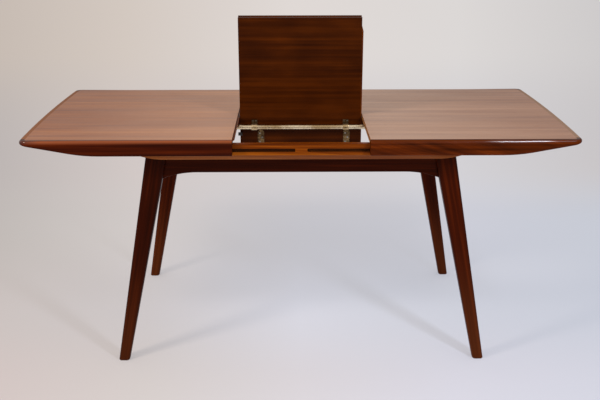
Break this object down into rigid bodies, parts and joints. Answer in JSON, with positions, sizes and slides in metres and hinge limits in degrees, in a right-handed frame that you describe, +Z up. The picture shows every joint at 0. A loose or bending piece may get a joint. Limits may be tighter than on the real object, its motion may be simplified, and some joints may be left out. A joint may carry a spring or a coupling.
{
  "type": "extending dining table",
  "caption": "Mid-century dining table with splayed tapered legs, bowed ends and two sliding top halves that part round a folding centre leaf hinged on a rod.",
  "frame": {"origin": "on the floor under the middle of the table", "axes": "+X along the table to the right, +Y from front to back, +Z up"},
  "size_m": [1.766, 0.9, 1.0959],
  "materials": {
    "top_veneer": "satin",
    "band_wood": "gloss",
    "rail_wood": "satin",
    "frame_wood": "satin",
    "leaf_veneer": "satin",
    "rod_metal": "brushed",
    "brass": "aged",
    "steel": "satin",
    "peg": "matte"
  },
  "bodies": {
    "frame": {"left_front_leg": "frame_wood", "right_front_leg": "frame_wood", "left_back_leg": "frame_wood", "right_back_leg": "frame_wood", "front_apron": "frame_wood", "back_apron": "frame_wood", "left_apron": "frame_wood", "right_apron": "frame_wood", "front_guide_rail": "rail_wood", "back_guide_rail": "rail_wood", "left_cross_rail": "frame_wood", "right_cross_rail": "frame_wood", "left_end_rail": "frame_wood", "right_end_rail": "frame_wood", "corner_blocks": "frame_wood", "corner_bolts": "steel", "rail_screws": "steel", "stow_rests": "frame_wood", "left_rod_socket": "brass", "right_rod_socket": "brass", "socket_screws": "steel"},
    "left_half": {"left_top_panel": "top_veneer", "left_front_band": "band_wood", "left_back_band": "band_wood", "left_end_band": "band_wood", "left_tongue": "rail_wood", "left_runners": "rail_wood", "left_runner_screws": "steel"},
    "right_half": {"right_top_panel": "top_veneer", "right_front_band": "band_wood", "right_back_band": "band_wood", "right_end_band": "band_wood", "right_runners": "rail_wood", "right_runner_screws": "steel"},
    "leaf_axle": {"leaf_rod": "rod_metal"},
    "front_leaf": {"front_leaf_panel": "leaf_veneer", "front_leaf_tongue": "rail_wood", "left_rod_bracket": "brass", "right_rod_bracket": "brass", "bracket_screws": "steel", "leaf_peg": "peg", "front_hinge_straps": "brass", "hinge_screws": "steel"},
    "back_leaf": {"back_leaf_panel": "leaf_veneer", "back_leaf_tongue": "rail_wood", "back_hinge_straps": "brass", "hinge_pins": "steel", "back_hinge_screws": "steel"}
  },
  "joints": [
    {"name": "left_half_slide", "type": "slide", "parent": "frame", "child": "left_half", "axis": [-1, 0, 0], "range_m": [-0.0015, 0.008]},
    {"name": "right_half_slide", "type": "slide", "parent": "frame", "child": "right_half", "axis": [1, 0, 0], "range_m": [-0.0015, 0.008]},
    {"name": "leaf_stow", "type": "hinge", "parent": "frame", "child": "leaf_axle", "pos_m": [0, -0.075, 0.717], "axis": [1, 0, 0], "range_deg": [-96, 0]},
    {"name": "leaf_open", "type": "hinge", "parent": "leaf_axle", "child": "front_leaf", "pos_m": [0, -0.075, 0.717], "axis": [1, 0, 0], "range_deg": [0, 84]},
    {"name": "leaf_unfold", "type": "hinge", "parent": "front_leaf", "child": "back_leaf", "pos_m": [0, -0.02887, 0.64643], "axis": [1, 0, 0], "range_deg": [-180, 0]}
  ],
  "couplings": [
    {"joint": "leaf_open", "follows": "leaf_unfold", "ratio": -0.46667}
  ]
}
